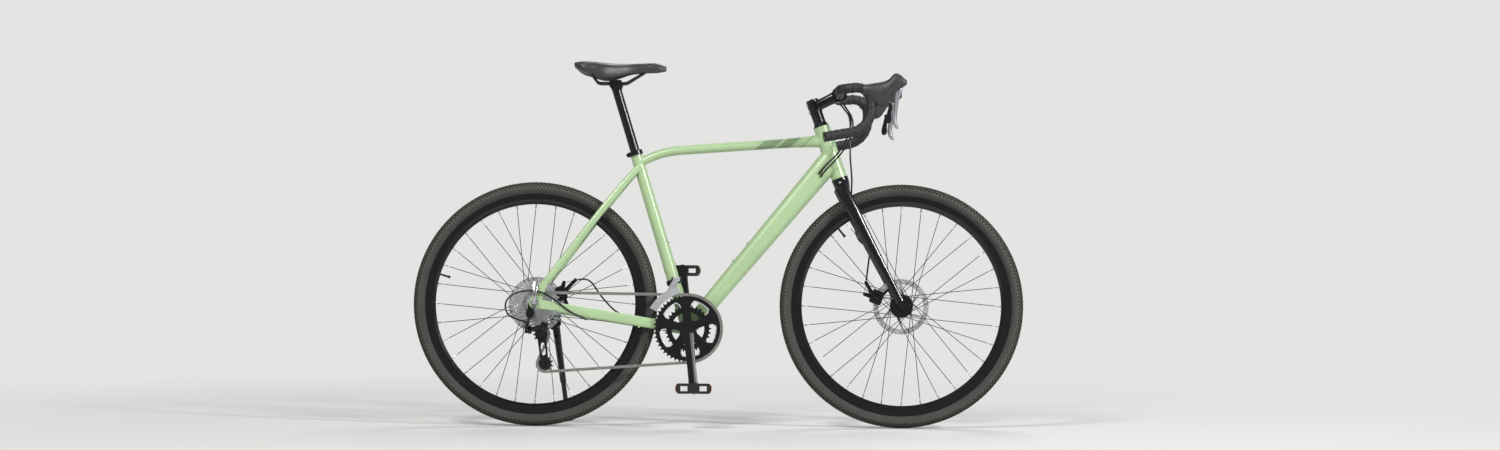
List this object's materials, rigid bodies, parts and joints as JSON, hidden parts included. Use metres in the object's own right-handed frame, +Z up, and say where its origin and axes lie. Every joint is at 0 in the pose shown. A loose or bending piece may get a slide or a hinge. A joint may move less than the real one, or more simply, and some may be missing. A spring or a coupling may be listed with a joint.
{
  "type": "gravel bike",
  "caption": "Drop-bar gravel bike with green frame, black fork, knobbed tyres, disc brakes, double chainset, side stand and turning, steering and shifting parts.",
  "frame": {"origin": "middle of the footprint box on the ground the wheels and stand touch", "axes": "+X forward along the wheels, +Y to the rider's left, +Z up; the bike leans 4.5 degrees left onto its stand"},
  "size_m": [1.7548, 0.521, 1.0492],
  "materials": {
    "frame_paint": "satin green paint",
    "fork_black": "satin black",
    "black_alloy": "satin black anodised",
    "tyre_rubber": "matte",
    "rim_black": "satin black",
    "spoke_black": "satin black",
    "bright_steel": "brushed",
    "chain_steel": "oiled steel",
    "silver_alloy": "polished",
    "lever_grey": "satin grey",
    "crank_black": "satin black",
    "saddle_black": "matte synthetic cover",
    "tape_black": "matte wrap",
    "hood_rubber": "matte",
    "pedal_plastic": "moulded",
    "cable_black": "gloss housing",
    "pulley_plastic": "moulded"
  },
  "bodies": {
    "frame": {"head_tube": "frame_paint", "top_tube": "frame_paint", "down_tube": "frame_paint", "seat_tube": "frame_paint", "bb_shell": "frame_paint", "chainstays": "frame_paint", "seatstays": "frame_paint", "dropouts": "frame_paint", "bearing_cups": "black_alloy", "seat_clamp": "black_alloy", "frame_bolts": "bright_steel", "rear_skewer": "silver_alloy", "rear_caliper": "black_alloy", "front_derailleur_clamp": "black_alloy", "derailleur_hanger": "black_alloy", "kickstand_bracket": "black_alloy", "chain": "chain_steel", "frame_cables": "cable_black"},
    "steering": {"fork": "fork_black", "headset_spacers": "black_alloy", "stem": "black_alloy", "handlebar": "black_alloy", "bar_tape": "tape_black", "brake_hoods": "hood_rubber", "front_caliper": "black_alloy", "front_axle": "black_alloy", "front_brake_cable": "cable_black"},
    "front_wheel": {"tyre_front": "tyre_rubber", "rim_front": "rim_black", "spokes_front": "spoke_black", "hub_front": "black_alloy", "rotor_front": "bright_steel"},
    "rear_wheel": {"tyre_rear": "tyre_rubber", "rim_rear": "rim_black", "spokes_rear": "spoke_black", "hub_rear": "black_alloy", "rotor_rear": "bright_steel"},
    "sprockets": {"cassette": "bright_steel"},
    "crankset": {"crank_right": "crank_black", "crank_left": "crank_black", "chainrings": "crank_black"},
    "right_pedal": {"pedal_right": "pedal_plastic"},
    "left_pedal": {"pedal_left": "pedal_plastic"},
    "right_brake_lever": {"brake_lever_right": "lever_grey"},
    "left_brake_lever": {"brake_lever_left": "lever_grey"},
    "right_shift_paddle": {"shift_paddle_right": "black_alloy"},
    "left_shift_paddle": {"shift_paddle_left": "black_alloy"},
    "front_brake_arm": {"front_caliper_arm": "black_alloy"},
    "rear_brake_arm": {"rear_caliper_arm": "black_alloy"},
    "derailleur_link": {"rear_derailleur_link": "black_alloy"},
    "derailleur_knuckle": {"rear_derailleur_knuckle": "black_alloy"},
    "derailleur_cage": {"rear_derailleur_cage": "black_alloy"},
    "guide_pulley": {"upper_pulley": "pulley_plastic"},
    "tension_pulley": {"lower_pulley": "pulley_plastic"},
    "front_derailleur": {"front_derailleur_cage": "black_alloy"},
    "kickstand": {"kickstand_leg": "black_alloy"},
    "quick_release": {"skewer_lever": "silver_alloy"},
    "seat": {"seatpost": "black_alloy", "saddle_cover": "saddle_black", "saddle_rails": "bright_steel"}
  },
  "joints": [
    {"name": "steering_turn", "type": "hinge", "parent": "frame", "child": "steering", "pos_m": [0.34782, -0.00831, 0.71231], "axis": [-0.3387, 0.0738, 0.938], "range_deg": [-70, 70], "deforming": ["frame_cables"]},
    {"name": "front_wheel_spin", "type": "hinge", "parent": "steering", "child": "front_wheel", "pos_m": [0.5265, -0.03683, 0.34998], "axis": [0, 0.9969, -0.0785], "continuous": true},
    {"name": "rear_wheel_spin", "type": "hinge", "parent": "frame", "child": "rear_wheel", "pos_m": [-0.5265, -0.03683, 0.34998], "axis": [0, 0.9969, -0.0785], "continuous": true},
    {"name": "crank_spin", "type": "hinge", "parent": "frame", "child": "crankset", "pos_m": [-0.08704, -0.04232, 0.2802], "axis": [0, 0.9969, -0.0785], "continuous": true, "deforming": ["chain"]},
    {"name": "sprocket_spin", "type": "hinge", "parent": "frame", "child": "sprockets", "pos_m": [-0.5265, -0.03683, 0.34998], "axis": [0, 0.9969, -0.0785], "continuous": true},
    {"name": "right_pedal_spin", "type": "hinge", "parent": "crankset", "child": "right_pedal", "pos_m": [-0.06875, -0.05598, 0.10669], "axis": [0, 0.9969, -0.0785], "continuous": true},
    {"name": "left_pedal_spin", "type": "hinge", "parent": "crankset", "child": "left_pedal", "pos_m": [-0.10533, -0.02867, 0.4537], "axis": [0, 0.9969, -0.0785], "continuous": true},
    {"name": "right_brake_pull", "type": "hinge", "parent": "steering", "child": "right_brake_lever", "pos_m": [0.49353, -0.21041, 0.96991], "axis": [0, 0.9969, -0.0785], "range_deg": [0, 20], "stiffness_Nm_per_rad": 1, "springref_deg": -5.73},
    {"name": "left_brake_pull", "type": "hinge", "parent": "steering", "child": "left_brake_lever", "pos_m": [0.49353, 0.2316, 0.93512], "axis": [0, 0.9969, -0.0785], "range_deg": [0, 20], "stiffness_Nm_per_rad": 1, "springref_deg": -5.73},
    {"name": "right_shift_push", "type": "hinge", "parent": "right_brake_lever", "child": "right_shift_paddle", "pos_m": [0.48703, -0.2134, 0.93203], "axis": [1, 0, 0], "range_deg": [0, 15], "stiffness_Nm_per_rad": 0.3, "springref_deg": -5.73},
    {"name": "left_shift_push", "type": "hinge", "parent": "left_brake_lever", "child": "left_shift_paddle", "pos_m": [0.48703, 0.22862, 0.89724], "axis": [-1, 0, 0], "range_deg": [0, 15], "stiffness_Nm_per_rad": 0.3, "springref_deg": -5.73},
    {"name": "front_brake_arm_turn", "type": "hinge", "parent": "steering", "child": "front_brake_arm", "pos_m": [0.45461, 0.02216, 0.37302], "axis": [0, 0.9969, -0.0785], "range_deg": [0, 20], "deforming": ["front_brake_cable"]},
    {"name": "rear_brake_arm_turn", "type": "hinge", "parent": "frame", "child": "rear_brake_arm", "pos_m": [-0.45671, 0.03551, 0.37693], "axis": [0, 0.9969, -0.0785], "range_deg": [0, 20]},
    {"name": "derailleur_link_swing", "type": "hinge", "parent": "frame", "child": "derailleur_link", "pos_m": [-0.53944, -0.11596, 0.27857], "axis": [0, 0.7175, 0.6966], "range_deg": [-10, 52]},
    {"name": "derailleur_knuckle_swing", "type": "hinge", "parent": "derailleur_link", "child": "derailleur_knuckle", "pos_m": [-0.5005, -0.12692, 0.28986], "axis": [0, 0.7175, 0.6966], "range_deg": [-52, 10]},
    {"name": "derailleur_cage_swing", "type": "hinge", "parent": "derailleur_knuckle", "child": "derailleur_cage", "pos_m": [-0.5065, -0.09774, 0.2655], "axis": [0, 0.9969, -0.0785], "range_deg": [-60, 25]},
    {"name": "guide_pulley_spin", "type": "hinge", "parent": "derailleur_cage", "child": "guide_pulley", "pos_m": [-0.5065, -0.09774, 0.2655], "axis": [0, 0.9969, -0.0785], "continuous": true},
    {"name": "tension_pulley_spin", "type": "hinge", "parent": "derailleur_cage", "child": "tension_pulley", "pos_m": [-0.49612, -0.10444, 0.18039], "axis": [0, 0.9969, -0.0785], "continuous": true},
    {"name": "front_derailleur_swing", "type": "hinge", "parent": "frame", "child": "front_derailleur", "pos_m": [-0.12056, -0.06509, 0.42422], "axis": [1, 0, 0], "range_deg": [0, 8]},
    {"name": "kickstand_fold", "type": "hinge", "parent": "frame", "child": "kickstand", "pos_m": [-0.4745, 0.04858, 0.28809], "axis": [0.2789, 0.8522, 0.4427], "range_deg": [0, 110.8]},
    {"name": "quick_release_flip", "type": "hinge", "parent": "frame", "child": "quick_release", "pos_m": [-0.5265, -0.12057, 0.35657], "axis": [1, 0, 0], "range_deg": [0, 150]},
    {"name": "seatpost_slide", "type": "slide", "parent": "frame", "child": "seat", "axis": [-0.2924, 0.075, 0.9534], "range_m": [-0.1, 0.06]}
  ],
  "couplings": [
    {"joint": "sprocket_spin", "follows": "crank_spin", "ratio": 3.2},
    {"joint": "guide_pulley_spin", "follows": "crank_spin", "ratio": -4.3636},
    {"joint": "tension_pulley_spin", "follows": "crank_spin", "ratio": 4.3636},
    {"joint": "front_brake_arm_turn", "follows": "left_brake_pull", "ratio": 1},
    {"joint": "rear_brake_arm_turn", "follows": "right_brake_pull", "ratio": 1},
    {"joint": "derailleur_knuckle_swing", "follows": "derailleur_link_swing", "ratio": -1}
  ]
}
